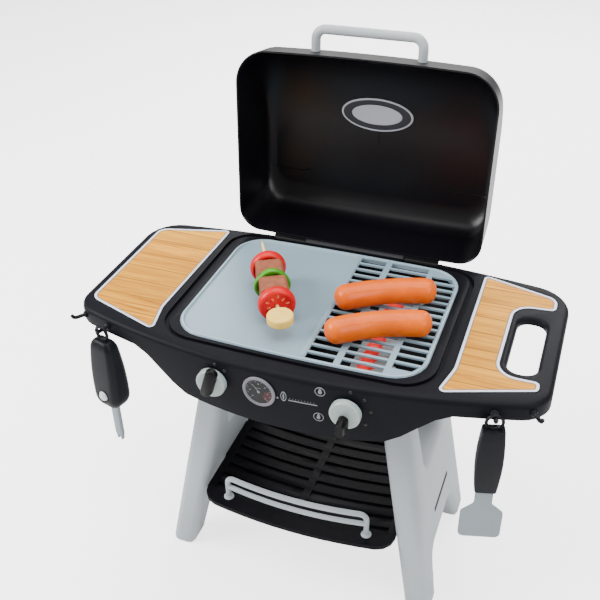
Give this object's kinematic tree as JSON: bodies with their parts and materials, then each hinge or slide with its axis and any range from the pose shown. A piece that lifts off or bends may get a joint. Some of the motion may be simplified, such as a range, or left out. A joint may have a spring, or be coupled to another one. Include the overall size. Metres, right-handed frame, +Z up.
{
  "type": "toy barbecue grill",
  "caption": "Toy barbecue on two splayed side frames, with a hinged lid, a lift-out griddle and grille, turning knobs, a lower shelf, hanging tools and play food.",
  "frame": {"origin": "on the floor, under the middle of the whole toy's bounding box", "axes": "+Z up, +X to the toy's right as seen by the cook in front, +Y from the front to the back"},
  "size_m": [0.72, 0.5178, 0.8348],
  "materials": {
    "black_plastic": "moulded satin black plastic",
    "gloss_black": "glossy black moulded plastic",
    "grey_plastic": "light grey moulded plastic",
    "silver_plastic": "silver coloured plastic",
    "grate_plastic": "blue-grey moulded plastic",
    "wood_laminate": "light wood decor panel",
    "screw_steel": "plain steel",
    "coal_red": "translucent red look",
    "sausage_orange": "soft gloss orange plastic",
    "skewer_cream": "cream plastic",
    "tomato_red": "red plastic",
    "meat_brown": "brown plastic",
    "pepper_green": "green plastic",
    "potato_cream": "cream plastic"
  },
  "bodies": {
    "stand": {"deck_tray": "black_plastic", "fire_bowl": "black_plastic", "coal_tray": "grey_plastic", "glowing_coals": "coal_red", "left_side_frame": "grey_plastic", "right_side_frame": "grey_plastic", "lower_shelf": "black_plastic", "shelf_rail": "grey_plastic", "left_wood_panel": "wood_laminate", "right_wood_panel": "wood_laminate", "left_panel_trim": "silver_plastic", "right_panel_trim": "silver_plastic", "left_inner_hook": "black_plastic", "left_outer_hook": "black_plastic", "right_inner_hook": "black_plastic", "right_outer_hook": "black_plastic", "hinge_strip": "black_plastic", "left_hinge_pin": "black_plastic", "right_hinge_pin": "black_plastic", "heat_gauge": "silver_plastic", "left_front_leg_screw": "screw_steel", "left_rear_leg_screw": "screw_steel", "right_front_leg_screw": "screw_steel", "right_rear_leg_screw": "screw_steel"},
    "lid": {"lid_shell": "gloss_black", "lid_handle": "silver_plastic", "left_lid_bracket": "gloss_black", "right_lid_bracket": "gloss_black"},
    "left_knob": {"left_knob_disc": "silver_plastic", "left_knob_grip": "black_plastic", "left_knob_clip": "screw_steel"},
    "right_knob": {"right_knob_disc": "silver_plastic", "right_knob_grip": "black_plastic", "right_knob_clip": "screw_steel"},
    "grate": {"cooking_grate": "grate_plastic"},
    "upper_sausage": {"rear_sausage": "sausage_orange"},
    "lower_sausage": {"front_sausage": "sausage_orange"},
    "skewer": {"skewer_stick": "skewer_cream", "rear_tomato": "tomato_red", "front_tomato": "tomato_red", "rear_meat": "meat_brown", "front_meat": "meat_brown", "pepper_ring": "pepper_green", "potato_slice": "potato_cream"},
    "left_tool": {"fork_handle": "black_plastic", "fork_shank": "grey_plastic", "fork_stud": "silver_plastic"},
    "right_tool": {"turner_handle": "black_plastic", "turner_blade": "grey_plastic"}
  },
  "joints": [
    {"name": "lid_hinge", "type": "hinge", "parent": "stand", "child": "lid", "pos_m": [0, 0.1242, 0.476], "axis": [1, 0, 0], "range_deg": [0, 94.2]},
    {"name": "left_knob_turn", "type": "hinge", "parent": "stand", "child": "left_knob", "pos_m": [-0.1004, -0.22327, 0.4415], "axis": [0, 1, 0], "range_deg": [0, 33]},
    {"name": "right_knob_turn", "type": "hinge", "parent": "stand", "child": "right_knob", "pos_m": [0.1004, -0.22327, 0.4415], "axis": [0, -1, 0], "range_deg": [0, 172]},
    {"name": "grate_lift", "type": "slide", "parent": "stand", "child": "grate", "axis": [0, 0, 1], "range_m": [0, 0.025]},
    {"name": "rear_sausage_lift", "type": "slide", "parent": "grate", "child": "upper_sausage", "axis": [0, 0, 1], "range_m": [0, 0.02]},
    {"name": "front_sausage_lift", "type": "slide", "parent": "grate", "child": "lower_sausage", "axis": [0, 0, 1], "range_m": [0, 0.02]},
    {"name": "skewer_lift", "type": "slide", "parent": "grate", "child": "skewer", "axis": [0, 0, 1], "range_m": [0, 0.02]},
    {"name": "left_tool_swing", "type": "hinge", "parent": "stand", "child": "left_tool", "pos_m": [-0.29542, -0.2026, 0.4665], "axis": [-0.2567, -0.9665, 0], "range_deg": [-30, 30]},
    {"name": "right_tool_swing", "type": "hinge", "parent": "stand", "child": "right_tool", "pos_m": [0.29542, -0.2026, 0.4665], "axis": [0.2567, -0.9665, 0], "range_deg": [-30, 30]}
  ]
}
